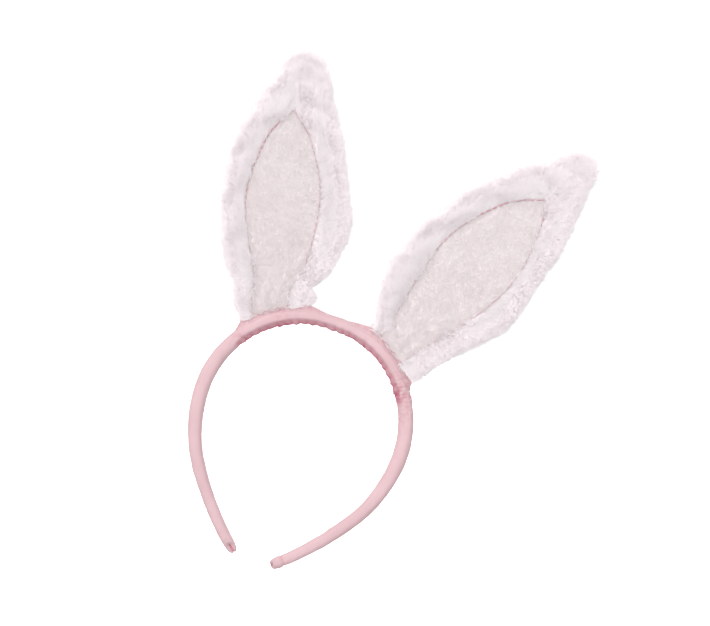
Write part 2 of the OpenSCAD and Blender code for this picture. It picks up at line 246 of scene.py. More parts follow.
def math_node(tree, operation, *terms):
    """A Math node over floats and other nodes' outputs. Returns its output."""
    node = add_node(tree, "ShaderNodeMath", operation=operation)
    for socket, term in zip(node.inputs, terms):
        if isinstance(term, float):
            socket.default_value = term
        else:
            tree.links.new(term, socket)
    return node.outputs[0]


def bump(tree, shader, height, strength, distance):
    node = add_node(tree, "ShaderNodeBump", Strength=strength, Distance=distance)
    tree.links.new(height, node.inputs["Height"])
    tree.links.new(node.outputs["Normal"], shader.inputs["Normal"])


def satin_material(name, dark, light, folded):
    """Satin: a fine diagonal twill with a soft shine, and painted shade that deepens its colour in
    its folds and creases.
    """
    material, tree, shader = new_material(name, light, 0.45, 0.12, 0.4)
    shader.inputs["Sheen Roughness"].default_value = 0.35
    shader.inputs["Sheen Tint"].default_value = (1.0, 0.9, 0.92, 1)
    place, colour = mottle(tree, shader, dark, light, 55.0)
    # Painted shade: this attribute mixes in the deeper colour where shade falls in the satin's folds.
    fold = add_node(tree, "ShaderNodeAttribute", attribute_name="fold")
    blend = add_node(tree, "ShaderNodeMixRGB")
    blend.inputs["Color2"].default_value = (*folded, 1)
    tree.links.new(fold.outputs["Fac"], blend.inputs["Fac"])
    tree.links.new(colour.outputs["Color"], blend.inputs["Color1"])
    tree.links.new(blend.outputs["Color"], shader.inputs["Base Color"])
    twill = texture(tree, place, "ShaderNodeTexWave", Scale=820.0, Distortion=1.2,
                    wave_type="BANDS", bands_direction="DIAGONAL")
    slubs = texture(tree, place, "ShaderNodeTexNoise", Scale=900.0, Detail=2.0)
    bump(tree, shader, math_node(tree, "ADD", twill, slubs), 0.16, 0.0001)
    return material


def backing_material(name, dark, light, scale, grain):
    """The ground cloth that a pile grows from, mottled and rough."""
    material, tree, shader = new_material(name, light, 0.95, 0.4, 0.15)
    place = mottle(tree, shader, dark, light, scale)[0]
    fine = texture(tree, place, "ShaderNodeTexNoise", Scale=grain, Detail=4.0, Roughness=0.65)
    bump(tree, shader, fine, 0.6, 0.0006)
    return material


def pile_materials(name, colours, roughness=0.85):
    """Plain shades for the hairs of a pile, from deep to pale."""
    return [new_material(f"{name}_{i}", colour, roughness, 0.15, 0.2)[0]
            for i, colour in enumerate(colours)]


def thread_material():
    material, tree, shader = new_material("thread", (0.52, 0.26, 0.31), 0.6, 0.3, 0.3)
    place = mottle(tree, shader, (0.47, 0.22, 0.27), (0.60, 0.33, 0.38), 300.0)[0]
    ply = texture(tree, place, "ShaderNodeTexWave", Scale=420.0, Distortion=0.5,
                  wave_type="BANDS", bands_direction="DIAGONAL")
    bump(tree, shader, ply, 0.5, 0.0002)
    return material


def grainy_material(name, dark, light, roughness, scale, strength, metallic=0.0):
    """Foam, wadding, plastic or wire: a mottled colour with a grain."""
    material, tree, shader = new_material(name, light, roughness)
    shader.inputs["Metallic"].default_value = metallic
    place = mottle(tree, shader, dark, light, scale / 8)[0]
    grain = texture(tree, place, "ShaderNodeTexNoise", Scale=scale, Detail=3.0)
    bump(tree, shader, grain, strength, 0.0003)
    return material


SATIN = satin_material("satin", (0.505, 0.336, 0.358), (0.555, 0.379, 0.401), (0.42, 0.12, 0.17))
# A deeper satin that is painted shade for the hollow mouth at an arm's end.
SATIN_MOUTH_SHADE = satin_material("satin_fold", (0.42, 0.14, 0.18), (0.55, 0.22, 0.27),
                            (0.3, 0.08, 0.12))
FUR_SKIN = backing_material("fur_skin", (0.82, 0.75, 0.77), (0.90, 0.85, 0.865), 160.0, 1400.0)
LINING_SKIN = backing_material("lining_skin", (0.71, 0.63, 0.64), (0.77, 0.70, 0.71), 120.0, 1800.0)
FUR_SHADES = pile_materials("fur", [(0.92, 0.85, 0.875), (0.945, 0.88, 0.903),
                                    (0.955, 0.895, 0.915), (0.965, 0.91, 0.928)])
LINING_SHADES = pile_materials("pile", [(0.775, 0.695, 0.703), (0.793, 0.73, 0.738),
                                        (0.808, 0.756, 0.764), (0.822, 0.778, 0.788)])
THREAD = thread_material()
FOAM = grainy_material("foam", (0.80, 0.78, 0.72), (0.90, 0.88, 0.83), 0.9, 900.0, 0.7)
PLASTIC = grainy_material("plastic", (0.82, 0.82, 0.80), (0.88, 0.88, 0.86), 0.4, 500.0, 0.1)
WADDING = grainy_material("wadding", (0.80, 0.80, 0.79), (0.90, 0.90, 0.89), 0.95, 700.0, 0.8)
WIRE = grainy_material("wire", (0.50, 0.50, 0.51), (0.62, 0.62, 0.64), 0.35, 1500.0, 0.1, 1.0)


# ---- the satin-covered hoop ----

TOP_LENGTH = TOP_RADIUS * math.radians(TOP_END)
BEND_LENGTH = BEND_RADIUS * math.radians(BEND_END - TOP_END)
TAIL_LENGTH = TAIL_RADIUS * math.radians(TAIL_END - BEND_END)
ARM_LENGTH = TOP_LENGTH + BEND_LENGTH + TAIL_LENGTH
# A layer that lies deeper than this below the satin is smooth and takes no part in the tents.
SKIN_LEAST = -0.1
# A distance that no surface reaches.
FAR = 99


def heading(distance):
    """How far the hoop has turned, in radians, at a distance from the top of the crown."""
    s = np.abs(distance)
    bend, tail = s - TOP_LENGTH, s - TOP_LENGTH - BEND_LENGTH
    return np.where(s < TOP_LENGTH, s / TOP_RADIUS,
                    np.where(tail < 0, math.radians(TOP_END) + bend / BEND_RADIUS,
                             math.radians(BEND_END) + tail / TAIL_RADIUS))


def spine(distance):
    """Middle line of the hoop: (x, z) from the hoop's centre and the outward direction."""
    h, s = heading(distance), np.abs(distance)
    side = np.where(np.asarray(distance) < 0, -1.0, 1.0)
    out = np.stack([np.sin(h), np.cos(h)], -1)
    radius, centre = TOP_RADIUS, np.zeros(2)
    point = radius * out
    for start, angle, next_radius in ((TOP_LENGTH, TOP_END, BEND_RADIUS),
                                      (TOP_LENGTH + BEND_LENGTH, BEND_END, TAIL_RADIUS)):
        turn = math.radians(angle)
        centre = centre + (radius - next_radius) * np.array([math.sin(turn), math.cos(turn)])
        radius = next_radius
        point = np.where((s >= start)[..., None], centre + radius * out, point)
    mirror = np.stack([side, np.ones_like(side)], -1)
    return point * mirror, out * mirror


def tent_height(angle):
    """How far the satin stands above the tube at an angle from the crown, in degrees."""
    away = np.abs(angle) - EAR_ANGLE
    half = math.degrees(math.atan(FOOT_LENGTH / 2 / SEAT_HEIGHT))
    straight = SEAT_HEIGHT / np.cos(np.radians(np.clip(away, -half, half))) - OUTER_RADIUS + 0.2
    past_inner, past_outer = np.clip((-away - half) / 13, 0, 1), np.clip((away - half) / 6, 0, 1)
    return straight * (1 - past_inner) ** 1.5 * (1 - past_outer) ** 1.4


def soft_least(a, b, sharpness):
    """The lesser of two distances, with the corner between them rounded off."""
    return -np.log(np.exp(-sharpness * a) + np.exp(-sharpness * b)) / sharpness


def gather_waves(distance, seed):
    """Scallops of uneven pitch along the gathered seam: 0 at each stitch, 1 between them."""
    random = np.random.default_rng(seed)
    knots = np.cumsum(random.uniform(4.2, 7.4, 90)) - 260
    size = random.uniform(0.45, 1.0, 91)
    index = np.clip(np.searchsorted(knots, distance) - 1, 0, 88)
    share = (distance - knots[index]) / (knots[index + 1] - knots[index])
    return size[index] * np.sin(np.pi * np.clip(share, 0, 1)) ** 0.8


def turned_degrees(distance):
    """The angle from the crown's top, positive on the right."""
    return np.degrees(heading(distance)) * np.where(distance < 0, -1, 1)


def gathering(distance, angle):
    """How strongly the satin is gathered, how far it is from the seam inside the hoop, and
    where it stands on the waves that run out from the seam."""
    gathered = smooth((64 - np.abs(turned_degrees(distance))) / 8)
    around = (math.pi - np.abs(angle)) * 4.8
    front = angle > 0
    skewed = distance + np.where(front, 0.35, -0.3) * around
    waves = np.where(front, gather_waves(skewed, 11), gather_waves(skewed, 12))
    return gathered, around, waves


def bunching(degrees):
    """Where the skin bunches beside the outer end of an ear, more on the right."""
    places = ((55, 5, 1.0), (66, 8, 0.4), (46, 5, 0.35), (-55, 4, 0.45), (-30, 4, 0.35))
    return sum(much * np.exp(-((degrees - place) / wide) ** 2) for place, wide, much in places)


def satin_fold(distance, angle):
    """Painted shade on the satin, 0 to 1, which deepens its colour where shade falls: in the gather
    valleys, along the seam, on the crown's inner facet, in bunched creases, at the cuff and beside
    the ears.
    """
    degrees = turned_degrees(distance)
    gathered, around, waves = gathering(distance, angle)
    # The crown's inner facet, which faces away from the light, gets painted shade.
    facet = smooth((np.abs(angle) - math.radians(104)) / math.radians(14))
    valley = (1 - waves) * np.exp(-(around / 4.5) ** 2)
    seam = np.exp(-(around / 1.9) ** 2)
    speckle = 0.5 + 0.5 * wander(distance * 0.35, angle * 3.0, 8, 3)
    crease = bunching(degrees) * smooth((speckle - 0.35) / 0.4)
    fold = gathered * (0.38 * facet + 0.6 * valley + 0.6 * seam) + 0.5 * crease
    fold = fold + 0.2 * (1 - gathered) * np.exp(-(around / 0.9) ** 2)
    fold = fold + 0.35 * np.exp(-((ARM_LENGTH - distance - CUFF_LENGTH) / 0.6) ** 2)
    near_ear = (tent_height(degrees) > 0.3) * np.exp(-((np.abs(angle) - 0.42) / 0.2) ** 2)
    return np.clip(fold + 0.3 * near_ear * speckle, 0, 1)


def tube_radius(distance, angle, degrees, flat_top, lift, shrink):
    """The smooth tube's radius, and half its thickness, before the ears pull on it."""
    taper = np.clip((np.abs(distance) - TOP_LENGTH) / (ARM_LENGTH - TOP_LENGTH), 0, 1)
    swell = np.exp(-((np.abs(degrees) - 80) / 22) ** 2)
    from_end = ARM_LENGTH - np.abs(distance)
    cuff = (0.16 * smooth((CUFF_LENGTH - from_end) / 0.8)
            - 0.42 * np.exp(-((from_end - CUFF_LENGTH) / 0.5) ** 2)) * (distance > 0)
    thickness = (TUBE_THICKNESS + 0.3 * swell - 0.4 * flat_top
                 + (TIP_THICKNESS - TUBE_THICKNESS) * taper)
    half_out = thickness / 2 + lift - shrink + cuff
    half_deep = (TUBE_DEPTH + (TIP_DEPTH - TUBE_DEPTH) * taper) / 2 + lift - shrink + cuff
    out_share, deep_share = np.abs(np.cos(angle)) / half_out, np.abs(np.sin(angle)) / half_deep
    power = 2.5
    radius = (out_share ** power + deep_share ** power) ** (-1 / power)
    # The inner corners are pulled flat towards the seam along the crown.
    pulled = smooth((68 - np.abs(degrees)) / 14)
    corner = np.cos(np.abs(angle) - np.radians(132))
    facet = 4.35 + lift + 1.6 * (1 - pulled)
    limit = np.where(corner > 0.2, facet / np.maximum(corner, 0.2), FAR)
    return soft_least(radius, limit, 9.0), half_out


def tent_radius(angle, half_out, rise):
    """The satin's radius where it rises in a tent to the foot of an ear, and 0 elsewhere."""
    c, s = np.cos(angle), np.sin(angle)
    ridge = 1.7
    down, across = half_out + rise - 3.3, 3.9 - ridge
    normal_out, normal_deep = across / np.hypot(down, across), down / np.hypot(down, across)
    reach = (half_out + rise) * normal_out + ridge * normal_deep
    facing = np.abs(s) * normal_deep + c * normal_out
    side_wall = np.where(facing > 0.2, reach / np.maximum(facing, 0.2), FAR)
    top_wall = np.where(c > 0.2, (half_out + rise) / np.maximum(c, 0.2), FAR)
    wanted = (np.abs(angle) < np.radians(62)) & (rise > 0.02)
    return np.where(wanted, soft_least(side_wall, top_wall, 4.0), 0)


def creases(distance, angle, degrees, rise):
    """How far the satin stands off the smooth tube, in gathers, puckers and drag lines."""
    # Gathers run out from the seam on the inside, deepest beside it.
    gathered, around, waves = gathering(distance, angle)
    height = gathered * np.exp(-(around / 4.2) ** 2) * (1.3 * waves - 0.6)
    height = height - gathered * 0.8 * np.exp(-(around / 0.7) ** 2)
    height = height - (1 - gathered) * 0.25 * np.exp(-(around / 0.6) ** 2)
    crinkle = wander(distance * 0.34 + 0.9 * np.sin(angle), angle * 1.2, 3, 3)
    ripple = 0.16 * np.sin(distance * 2.6 + 2 * angle)
    height = height + bunching(degrees) * (0.85 * crinkle + ripple)
    # Puckers where the ear pulls the satin up.
    pucker = gather_waves(distance * 1.4, 13) - 0.5
    height = height + (rise > 0.3) * 0.6 * pucker * np.exp(-((np.abs(angle) - 0.5) / 0.3) ** 2)
    # Slack and drag lines elsewhere.
    slack = wander(distance * 0.05 + angle * 0.35, angle * 0.8, 5, 2)
    drag = wander(distance * 0.16 + angle * 0.9, angle * 0.5, 6, 2)
    return height + 0.22 * slack + 0.2 * drag


def satin_surface(distance, angle, lift=0.0, shrink=0.0):
    """Points of the satin, in mm, for distances along the hoop and angles round the tube.
    Angle 0 faces away from the head and 90 degrees faces the front."""
    degrees = turned_degrees(distance)
    flat_top = np.exp(-(degrees / 15) ** 2)
    radius, half_out = tube_radius(distance, angle, degrees, flat_top, lift, shrink)
    if lift > SKIN_LEAST:
        rise = tent_height(degrees)
        radius = np.maximum(radius, tent_radius(angle, half_out, rise))
        radius = radius + np.maximum(creases(distance, angle, degrees, rise), -FOLD_ROOM)
    point, out = spine(distance)
    flat = point + (radius * np.cos(angle) - 0.9 * flat_top)[..., None] * out
    return np.stack([flat[..., 0], -radius * np.sin(angle), flat[..., 1] + CENTRE_Z], -1)


def hoop_distances(stop):
    """Distances along the hoop, close together over the crown and wider down the arms."""
    fine = np.arange(0, 78, 0.5)
    coarse = np.arange(fine[-1] + 1.0, stop - 10, 1.1)
    ending = np.linspace(coarse[-1] + 0.6, stop, 26)
    return np.concatenate([fine, coarse, ending])


def slanted(distance, angle):
    """Distances pulled back on the front of an arm's end, which is cut on a slant."""
    near = smooth((np.abs(distance) - ARM_LENGTH + 10) / 10)
    slant = np.where(distance < 0, TIP_SLANT[LEFT], TIP_SLANT[RIGHT])
    return distance - np.sign(distance) * slant * near * (0.5 + 0.5 * np.sin(angle)) ** 2


def end_rounding(distance):
    """How much narrower the tube gets in the last millimetres of an arm."""
    return 0.3 * np.clip((np.abs(distance) - ARM_LENGTH + 1.6) / 1.6, 0, 1) ** 2


def tube(name, side, lift, material, sides=96, stop=ARM_LENGTH):
    """Half of the hoop's skin, from the crown's top to an arm's end."""
    along = side * hoop_distances(stop)
    around = np.linspace(-math.pi, math.pi, sides, endpoint=False) + math.pi / sides
    s, a = np.meshgrid(along, around, indexing="ij")
    points = satin_surface(slanted(s, a), a, lift, end_rounding(s)) * MM
    piece = make_mesh(name, points, grid_faces(len(along), sides, True, side == RIGHT), [material])
    # Painted shade for the satin's material, deepest in folds and creases.
    fold = piece.data.attributes.new("fold", "FLOAT", "POINT")
    fold.data.foreach_set("value", satin_fold(s, a).astype(np.float32).ravel())
    return piece


def bend_across(piece):
    """Bakes the piece's placement into its mesh."""
    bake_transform(piece)


def flex_with_arm(piece):
    """Bakes the piece's placement into its mesh, through bend_across."""
    bend_across(piece)


def build_hoop():
    for side_name, side in SIDES.items():
        satin = tube(f"{side_name}_satin", side, 0.0, SATIN)
        flex_with_arm(satin)
        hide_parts(f"{side_name}_arm_sleeve", f"{side_name}_ear_seat",
                    *(["crown_sleeve"] if side == LEFT else []))
        foam = tube(f"{side_name}_foam", side, FOAM_LIFT, FOAM, 32, ARM_LENGTH - STRIP_END_GAP)
        flex_with_arm(foam)
        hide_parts(f"{side_name}_arm_padding", *(["crown_padding"] if side == LEFT else []))


# ---- placing the ears ----

def seat_to_row(side, along, out, front):
    """A place given along, above and in front of an ear's seat, in the row frame in metres."""
    flat = turned(-side * EAR_ANGLE, np.stack([along, out], -1))
    return np.stack([flat[..., 0], -np.asarray(front) + 0 * flat[..., 0],
                     flat[..., 1] + CENTRE_Z], -1) * MM


def pattern_to_seat(side, across, up):
    return turned(side * EAR_LEAN[side], np.stack([across, up], -1)) + np.array(EAR_FOOT[side])


def seat_to_pattern(side, along, out):
    return turned(-side * EAR_LEAN[side], np.array([along, out]) - np.array(EAR_FOOT[side]))


def ear_to_row(side, across, up, front):
    flat = pattern_to_seat(side, across, up)
    return seat_to_row(side, flat[..., 0], flat[..., 1], front)


def ear_edges(side, inset):
    """The left and right edges of an ear's cut pattern, each from the foot to the tip."""
    size, half = EAR_LENGTH[side], FOOT_LENGTH / 2 - inset
    wide = size / PATTERN_LENGTH
    tip = (PATTERN_TIP[side], size - inset)
    edges = []
    for edge, column in ((LEFT, 1), (RIGHT, 2)):
        path = [seat_to_pattern(side, edge * half, SEWN_HEIGHT),
                seat_to_pattern(side, edge * half, FOLD_HEIGHT + 1)]
        if (side, edge) == (LEFT, RIGHT):
            path = [np.array(place) for place in LOBE_EDGE]
        path += [(edge * (row[column] * wide - inset), row[0] * (size - inset))
                 for row in EAR_PATTERN[side] if row[0] * size > path[-1][1] + 6]
        edges.append(path)
    left, right = edges
    whole = curve(np.array(left + [tip] + right[::-1]), 8)
    middle = 8 * len(left)
    return whole[: middle + 1], whole[: middle - 1: -1]


def lining_edges(side, margin):
    """The left and right edges of an ear's lining, each from the foot to the lining's tip."""
    size = EAR_LENGTH[side]
    wide = size / PATTERN_LENGTH
    tip = (LINING_TIP[0] * wide, LINING_TIP[1] * size + 1.4 * margin)
    edges = []
    for edge, column in ((LEFT, 1), (RIGHT, 2)):
        feet = LINING_FEET[side, edge]
        path = [seat_to_pattern(side, along + edge * margin, out) for along, out in feet]
        top = path[-1][1] + 6
        path += [(edge * (row[column] * wide + margin), row[0] * size)
                 for row in LINING_PATTERN if row[0] * size > top]
        edges.append(curve(path + [tip], 8))
    return edges


def pressed(side, across, up, front, least):
    """A depth from the ear's middle, kept thin near the sewn foot."""
    above = pattern_to_seat(side, across, up)[..., 1] - FOLD_HEIGHT
    room = np.maximum(least, 2.4 + 0.42 * above)
    soft = 0.5
    return np.sign(front) * -soft * np.log(np.exp(-np.abs(front) / soft) + np.exp(-room / soft))


# ---- cloth ----

def relax(obj, shape, foot_rows, tip_rows, growth, pressure, frames, cap):
    """Lets a sheet swell and buckle as cloth, pinned along its sides, its foot and its tip, then
    keeps the shape it takes."""
    pinned = np.zeros(shape, bool)
    pinned[:, [0, -1]] = pinned[:foot_rows, :] = pinned[-tip_rows:, :] = True
    group = obj.vertex_groups.new(name="pinned")
    group.add(np.flatnonzero(pinned.ravel()).tolist(), 1.0, "REPLACE")
    cloth = obj.modifiers.new("cloth", "CLOTH")
    settings = cloth.settings
    settings.vertex_group_mass = "pinned"
    settings.quality = 6
    settings.mass = 0.15
    settings.tension_stiffness = settings.compression_stiffness = 12
    settings.shear_stiffness = 6
    settings.bending_stiffness = 0.6
    settings.shrink_min = -growth
    settings.use_pressure = True
    settings.uniform_pressure_force = pressure
    settings.effector_weights.gravity = 0
    cloth.collision_settings.use_collision = False
    cloth.point_cache.frame_start, cloth.point_cache.frame_end = 1, frames
    before = np.empty(len(obj.data.vertices) * 3, np.float32)
    obj.data.vertices.foreach_get("co", before)
    for number in range(1, frames + 1):
        bpy.context.scene.frame_set(number)
    seen = obj.evaluated_get(bpy.context.evaluated_depsgraph_get())
    after = np.empty_like(before)
    seen.data.vertices.foreach_get("co", after)
    obj.modifiers.remove(cloth)
    obj.vertex_groups.remove(group)
    move = (after - before).reshape(-1, 3)
    size = np.linalg.norm(move, axis=1, keepdims=True)
    move *= np.minimum(1, cap * MM / np.maximum(size, 1e-9))
    obj.data.vertices.foreach_set("co", (before.reshape(-1, 3) + move).ravel())
    obj.data.update()
    bpy.context.scene.frame_set(1)


# ---- ear panels ----

ROWS = 150
EDGE_INSET = 0.4


def between(left, right, columns, rows=ROWS):
    """A grid of pattern points between two edges that run from foot to tip."""
    a, b = evenly(left, rows), evenly(right, rows)
    share = np.linspace(0, 1, columns)[None, :, None]
    return a[:, None, :] * (1 - share) + b[:, None, :] * share, share[..., 0] + 0 * a[:, :1]


def ear_piece(name, side, grid, front, material, flipped, least=1.75):
    rows, columns = front.shape
    front = pressed(side, grid[..., 0], grid[..., 1], front, least)
    points = ear_to_row(side, grid[..., 0], grid[..., 1], front)
    return make_mesh(name, points, grid_faces(rows, columns, False, flipped), [material])


def back_panel(side_name):
    side = SIDES[side_name]
    left, right = ear_edges(side, EDGE_INSET)
    columns = 56
    grid, share = between(left, right, columns)
    across = 2 * share - 1
    dome = (1 - np.abs(across) ** 2.6) ** 0.45
    top = smooth((EAR_LENGTH[side] - grid[..., 1]) / 14)
    front = LAYER_MIDDLE + (BACK_FACE - LAYER_MIDDLE) * dome * top ** 0.5
    front = front + 0.5 * wander(grid[..., 0] * 0.06, grid[..., 1] * 0.06, 21 + side) * dome
    piece = ear_piece(f"{side_name}_ear_back_cloth", side, grid, front, FUR_SKIN, True)
    relax(piece, front.shape, 6, 3, 0.012, -0.6, 16, 1.6)
    return piece


def border_strip(side, leg):
    """One leg of the rolled border, from the foot to the tip: its layout and its depths."""
    outer = ear_edges(side, EDGE_INSET)[0 if leg == LEFT else 1]
    inner = lining_edges(side, 0.2)[0 if leg == LEFT else 1]
    columns = 22
    grid, share = between(inner, outer, columns)
    x = 2 * share - 1
    ground = 1.4 + (LAYER_MIDDLE - 1.4) * smooth(share)
    roll = np.where(x < 0, (1 - np.abs(x) ** 1.9) ** 0.85, (1 - np.abs(x) ** 2.8) ** 0.45)
    puff = 1 + 0.14 * wander(grid[..., 0] * 0.05, grid[..., 1] * 0.07, 31 + side + 3 * leg)
    # The two legs meet in a pinched mitre seam above the lining.
    along = np.linspace(0, 1, ROWS)[:, None]
    pinch = 1 - 0.45 * smooth((along - 0.965) / 0.035)
    front = ground + (BORDER_FRONT - ground) * roll * puff * pinch
    # The edge wanders a little, as soft fabric does.
    drift = wander(grid[..., 1] * 0.085, grid[..., 1] * 0, 41 + side + 5 * leg) * smooth(share)
    grid = grid + np.stack([leg * 1.5 * drift * (1 - along ** 6), 0 * drift], -1)
    return grid, front


def border_piece(side_name):
    side = SIDES[side_name]
    left_grid, left_front = border_strip(side, LEFT)
    right_grid, right_front = border_strip(side, RIGHT)
    grid = np.vstack([left_grid, right_grid[-2::-1]])
    front = np.vstack([left_front, right_front[-2::-1]])
    front[ROWS - 1] = (left_front[-1] + right_front[-1]) / 2
    piece = ear_piece(f"{side_name}_ear_border_cloth", side, grid, front, FUR_SKIN, True)
    relax(piece, front.shape, 6, 6, 0.02, 0.5, 16, 1.5)
    return piece


def lining_piece(side_name):
    side = SIDES[side_name]
    left, right = lining_edges(side, 1.6)
    columns = 44
    grid, share = between(left, right, columns)
    x = 2 * share - 1
    dome = (1 - np.abs(x) ** 2.5) ** 0.5
    u, s = grid[..., 0], grid[..., 1]
    # Soft folds fan up from the gathered foot and fade half way.
    height = np.clip(s / (0.5 * EAR_LENGTH[side]), 0, 1)
    fan = np.sin(2 * np.pi * (x * 1.7 + 0.22 * side + 0.12 * wander(s * 0.03, u * 0.02, 51 + side)))
    folds = fan * (1 - smooth(height)) * 0.24
    ripple = 0.35 * wander(u * 0.045 + s * 0.012, s * 0.03, 55 + side, 3)
    front = 1.9 + (LINING_FRONT - 1.9) * dome + (folds + ripple) * dome
    front = np.maximum(front, 1.75)
    piece = ear_piece(f"{side_name}_ear_lining_cloth", side, grid, front, LINING_SKIN, False)
    relax(piece, front.shape, 4, 3, 0.022, 0.35, 20, 2.0)
    return piece


# ---- fur ----

def read_mesh(obj):
    mesh = obj.data
    mesh.calc_loop_triangles()
    points = np.empty(len(mesh.vertices) * 3, np.float32)
    normals = np.empty_like(points)
    triangles = np.empty(len(mesh.loop_triangles) * 3, np.int32)
    mesh.vertices.foreach_get("co", points)
    mesh.vertices.foreach_get("normal", normals)
    mesh.loop_triangles.foreach_get("vertices", triangles)
    return points.reshape(-1, 3) / MM, normals.reshape(-1, 3), triangles.reshape(-1, 3)


def scatter(points, normals, triangles, count, random):
    """Places spread evenly over a mesh, with the normal at each."""
    a, b, c = (points[triangles[:, k]] for k in range(3))
    area = np.linalg.norm(np.cross(b - a, c - a), axis=1)
    picked = random.choice(len(triangles), count, p=area / area.sum())
    p, q = random.random((2, count))
    flip = p + q > 1
    p, q = np.where(flip, 1 - p, p), np.where(flip, 1 - q, q)
    share = np.stack([1 - p - q, p, q], -1)[:, :, None]
    corners = triangles[picked]
    place = (points[corners] * share).sum(1)
    normal = (normals[corners] * share).sum(1)
    return place, normal / np.maximum(np.linalg.norm(normal, axis=1, keepdims=True), 1e-9)


def unit(v):
    return v / np.maximum(np.linalg.norm(v, axis=-1, keepdims=True), 1e-9)


# How much a hair's roundness, and the flat skin below it, count in the way it takes light.
SOFTNESS = 0.25
FLATNESS = 0.88
# A hair has three corners at its root, three part way up and one at its tip.
MIDDLE_SHARE = 0.55
HAIR_CORNERS = 7
HAIR_FACES = ([(0, 2, 1)] + [face for k in range(3) for face in
                             ((k, (k + 1) % 3, (k + 1) % 3 + 3), (k, (k + 1) % 3 + 3, k + 3),
                              (k + 3, (k + 1) % 3 + 3, 6))])
UPPER = np.array([max(face) == 6 for face in HAIR_FACES])


def clump_ids(place, size):
    """Sorts places into uneven clumps about a size across, and returns each one's clump."""
    jitter = place + 0.35 * size * np.sin(place[:, [1, 2, 0]] * 1.7 / size)
    cells = np.floor(jitter / size).astype(np.int64)
    keys = cells[:, 0] * 73856093 ^ cells[:, 1] * 19349663 ^ cells[:, 2] * 83492791
    kinds, ids = np.unique(keys, return_inverse=True)
    return ids.ravel(), len(kinds)


def hairs(name, place, normal, comb, length, width, shades, random, stand=0.5, clump=2.6,
          spread=0.3, inside=1.0, tint=0.0):
    """Closed three-sided tapering hairs that lean along the comb, in loose clumps. Inside is 1
    away from a piece's rim and 0 on it, and tint shifts the choice of shade."""
    count = len(place)
    ids, kinds = clump_ids(place, clump)
    lean = random.normal(0, 1, (kinds, 3))[ids]
    tone = random.random(kinds)[ids]
    patch = wander(place[:, 0] * 0.09, place[:, 2] * 0.09, 71, 1)
    tall = random.uniform(0.85, 1.12, kinds)[ids] * random.uniform(0.7, 1.1, count) * length
    tall = tall * (1 + 0.12 * patch)
    flat = unit(comb - (comb * normal).sum(1, keepdims=True) * normal)
    way = unit(normal * stand + flat + spread * lean + 0.16 * random.normal(0, 1, (count, 3)))
    start = unit(way + normal * 0.9)
    across = unit(np.cross(start, random.normal(0, 1, (count, 3))))
    other = np.cross(start, across)
    thick = width * random.uniform(0.8, 1.2, count)
    root = place - normal * 0.25
    middle = place + start * (tall * MIDDLE_SHARE)[:, None]
    tip = middle + way * (tall * (1 - MIDDLE_SHARE))[:, None]
    # Light falls on the hairs as on a flatter skin below them, which keeps the pile soft. On a
    # rim, each side of a hair is lit as the way it faces.
    inside = inside + np.zeros(count)
    level = (FLATNESS * np.where(normal[:, 1] > 0.15, 1.0, -1.0) * inside)[:, None]
    level = (1 - FLATNESS) * normal + level * np.array([0, 1.0, 0])
    own_side = (1 - (1 - SOFTNESS) * inside)[:, None]
    corners, facing = [], []
    for centre, scale in ((root, 1.0), (middle, 0.8)):
        for k in range(3):
            a = 2 * math.pi * k / 3
            ring = across * math.cos(a) + other * math.sin(a)
            corners.append(centre + ring * (thick * scale / 2)[:, None])
            facing.append(unit(level + own_side * ring))
    corners.append(tip)
    facing.append(unit(level))
    points = np.stack(corners, 1).reshape(-1, 3) * MM
    first = np.arange(count)[:, None, None] * HAIR_CORNERS
    faces = (first + np.array(HAIR_FACES)[None]).reshape(-1, 3)
    shade = 0.9 * tone + 0.5 * random.random(count) + tint
    shade = np.clip(shade[:, None] + 1.2 * UPPER[None], 0, len(shades) - 1).astype(int)
    piece = make_mesh(name, points, faces, shades, shade.ravel())
    piece.data.normals_split_custom_set_from_vertices(np.stack(facing, 1).reshape(-1, 3).tolist())
    piece.visible_shadow = False
    return piece


def along_ear(side, up=1.0, across=0.0):
    """The direction up and across an ear's pattern, in the row frame."""
    a = ear_to_row(side, np.array(0.0), np.array(0.0), 0.0)
    b = ear_to_row(side, np.array(across), np.array(up), 0.0)
    return unit(b - a)


def row_to_pattern(side, points):
    """Pattern (across, up) of points in the row frame in mm."""
    flat = turned(side * EAR_ANGLE, np.stack([points[:, 0], points[:, 2] - CENTRE_Z], -1))
    return turned(-side * EAR_LEAN[side], flat - np.array(EAR_FOOT[side]))


def border_comb(side, place):
    """Fur lies outwards from the lining and up towards the tip."""
    pattern = row_to_pattern(side, place)
    outward = np.stack([pattern[:, 0] + 3, (pattern[:, 1] - 0.55 * EAR_LENGTH[side]) * 0.35], -1)
    flat = unit(unit(outward) * 0.85 + np.array([0.0, 0.65]))
    x_way, z_way = along_ear(side, 0, 1.0), along_ear(side, 1.0, 0)
    return flat[:, :1] * x_way + flat[:, 1:] * z_way


def rim_distance(side, place):
    """How far places are from the ear's outline, in mm."""
    pattern = row_to_pattern(side, place)
    outline = evenly(np.vstack(ear_edges(side, EDGE_INSET)), 160)
    return np.array([np.linalg.norm(outline - point, axis=1).min() for point in pattern])


# Hairs in mm: the fur's length at an ear's foot, what it gains higher up, and the widths.
FUR_AT_FOOT, FUR_GAIN, FUR_WIDTH = 4.0, 2.2, 0.26
PILE_LENGTH, PILE_WIDTH = 1.7, 0.34
FUR_PIECES = {"border": 3, "back": 2}
HAIRS_EACH = int(19800 * (1.0))


